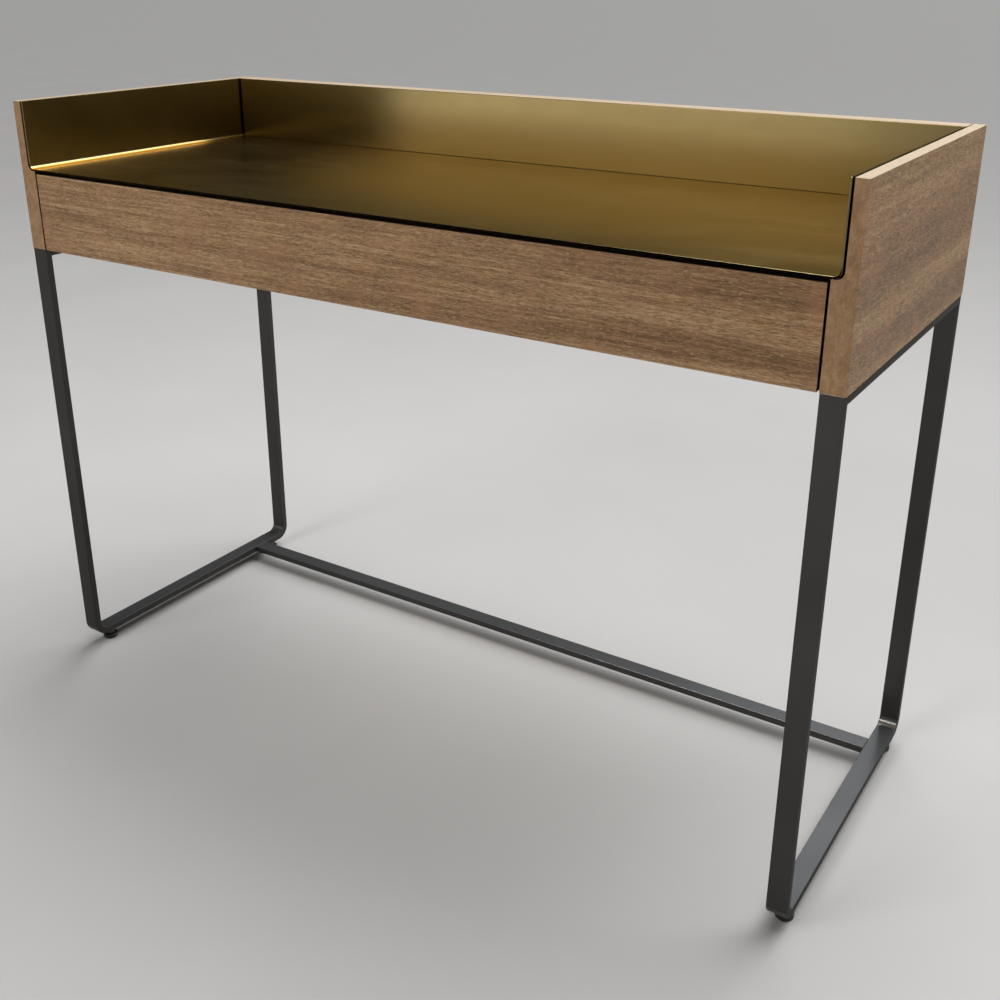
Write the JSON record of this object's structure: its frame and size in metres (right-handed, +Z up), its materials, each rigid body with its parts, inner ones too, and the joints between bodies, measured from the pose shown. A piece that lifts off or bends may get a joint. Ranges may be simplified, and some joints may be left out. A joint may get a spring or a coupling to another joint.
{
  "type": "writing desk",
  "caption": "Writing desk with a wide handleless drawer under a recessed brass tray top, on flat-bar steel loop legs with a stretcher and levelling feet.",
  "frame": {"origin": "on the floor, under the middle of the desk", "axes": "+X along the width, to the right of someone standing in front of the desk and facing it; +Y from the front to the back; +Z up"},
  "size_m": [1.2, 0.46, 0.8695],
  "materials": {
    "wood_veneer": "matt lacquered walnut-toned veneer",
    "inner_wood": "clear lacquered birch ply",
    "brass_sheet": "brushed satin, lacquered",
    "powder_coat": "fine-textured anthracite powder coat",
    "runner_steel": "zinc plated",
    "screw_steel": "zinc plated",
    "foot_plastic": "moulded nylon",
    "foam_pad": "closed-cell foam"
  },
  "bodies": {
    "desk": {"left_side_panel": "wood_veneer", "right_side_panel": "wood_veneer", "back_panel": "wood_veneer", "bottom_panel": "wood_veneer", "tray_support_panel": "wood_veneer", "panel_dowels": "inner_wood", "brass_tray": "brass_sheet", "brass_back_sheet": "brass_sheet", "tray_bonding_pads": "foam_pad", "left_leg_hoop": "powder_coat", "right_leg_hoop": "powder_coat", "left_mounting_bar": "powder_coat", "right_mounting_bar": "powder_coat", "stretcher": "powder_coat", "frame_screws": "screw_steel", "frame_inserts": "screw_steel", "drawer_bumpers": "foam_pad", "left_cabinet_member": "runner_steel", "right_cabinet_member": "runner_steel", "cabinet_member_screws": "screw_steel"},
    "drawer": {"drawer_front": "wood_veneer", "drawer_left_side": "inner_wood", "drawer_right_side": "inner_wood", "drawer_back": "inner_wood", "drawer_bottom": "inner_wood", "drawer_dowels": "inner_wood", "drawer_back_screws": "screw_steel", "left_drawer_member": "runner_steel", "right_drawer_member": "runner_steel", "drawer_member_screws": "screw_steel"},
    "left_middle_member": {"left_middle_member": "runner_steel"},
    "left_outer_ball_cage": {"left_outer_ball_cage": "runner_steel"},
    "left_inner_ball_cage": {"left_inner_ball_cage": "runner_steel"},
    "right_middle_member": {"right_middle_member": "runner_steel"},
    "right_outer_ball_cage": {"right_outer_ball_cage": "runner_steel"},
    "right_inner_ball_cage": {"right_inner_ball_cage": "runner_steel"},
    "front_left_foot": {"front_left_foot_pad": "foot_plastic", "front_left_foot_stud": "screw_steel"},
    "front_right_foot": {"front_right_foot_pad": "foot_plastic", "front_right_foot_stud": "screw_steel"},
    "back_left_foot": {"back_left_foot_pad": "foot_plastic", "back_left_foot_stud": "screw_steel"},
    "back_right_foot": {"back_right_foot_pad": "foot_plastic", "back_right_foot_stud": "screw_steel"}
  },
  "joints": [
    {"name": "drawer_slide", "type": "slide", "parent": "desk", "child": "drawer", "axis": [0, -1, 0], "range_m": [0, 0.38]},
    {"name": "left_middle_member_slide", "type": "slide", "parent": "desk", "child": "left_middle_member", "axis": [0, -1, 0], "range_m": [0, 0.19]},
    {"name": "left_outer_ball_cage_slide", "type": "slide", "parent": "desk", "child": "left_outer_ball_cage", "axis": [0, -1, 0], "range_m": [0, 0.095]},
    {"name": "left_inner_ball_cage_slide", "type": "slide", "parent": "desk", "child": "left_inner_ball_cage", "axis": [0, -1, 0], "range_m": [0, 0.285]},
    {"name": "right_middle_member_slide", "type": "slide", "parent": "desk", "child": "right_middle_member", "axis": [0, -1, 0], "range_m": [0, 0.19]},
    {"name": "right_outer_ball_cage_slide", "type": "slide", "parent": "desk", "child": "right_outer_ball_cage", "axis": [0, -1, 0], "range_m": [0, 0.095]},
    {"name": "right_inner_ball_cage_slide", "type": "slide", "parent": "desk", "child": "right_inner_ball_cage", "axis": [0, -1, 0], "range_m": [0, 0.285]},
    {"name": "front_left_foot_height", "type": "slide", "parent": "desk", "child": "front_left_foot", "axis": [0, 0, -1], "range_m": [0, 0.005]},
    {"name": "front_right_foot_height", "type": "slide", "parent": "desk", "child": "front_right_foot", "axis": [0, 0, -1], "range_m": [0, 0.005]},
    {"name": "back_left_foot_height", "type": "slide", "parent": "desk", "child": "back_left_foot", "axis": [0, 0, -1], "range_m": [0, 0.005]},
    {"name": "back_right_foot_height", "type": "slide", "parent": "desk", "child": "back_right_foot", "axis": [0, 0, -1], "range_m": [0, 0.005]}
  ],
  "couplings": [
    {"joint": "left_middle_member_slide", "follows": "drawer_slide", "ratio": 0.5},
    {"joint": "left_outer_ball_cage_slide", "follows": "drawer_slide", "ratio": 0.25},
    {"joint": "left_inner_ball_cage_slide", "follows": "drawer_slide", "ratio": 0.75},
    {"joint": "right_middle_member_slide", "follows": "drawer_slide", "ratio": 0.5},
    {"joint": "right_outer_ball_cage_slide", "follows": "drawer_slide", "ratio": 0.25},
    {"joint": "right_inner_ball_cage_slide", "follows": "drawer_slide", "ratio": 0.75}
  ]
}
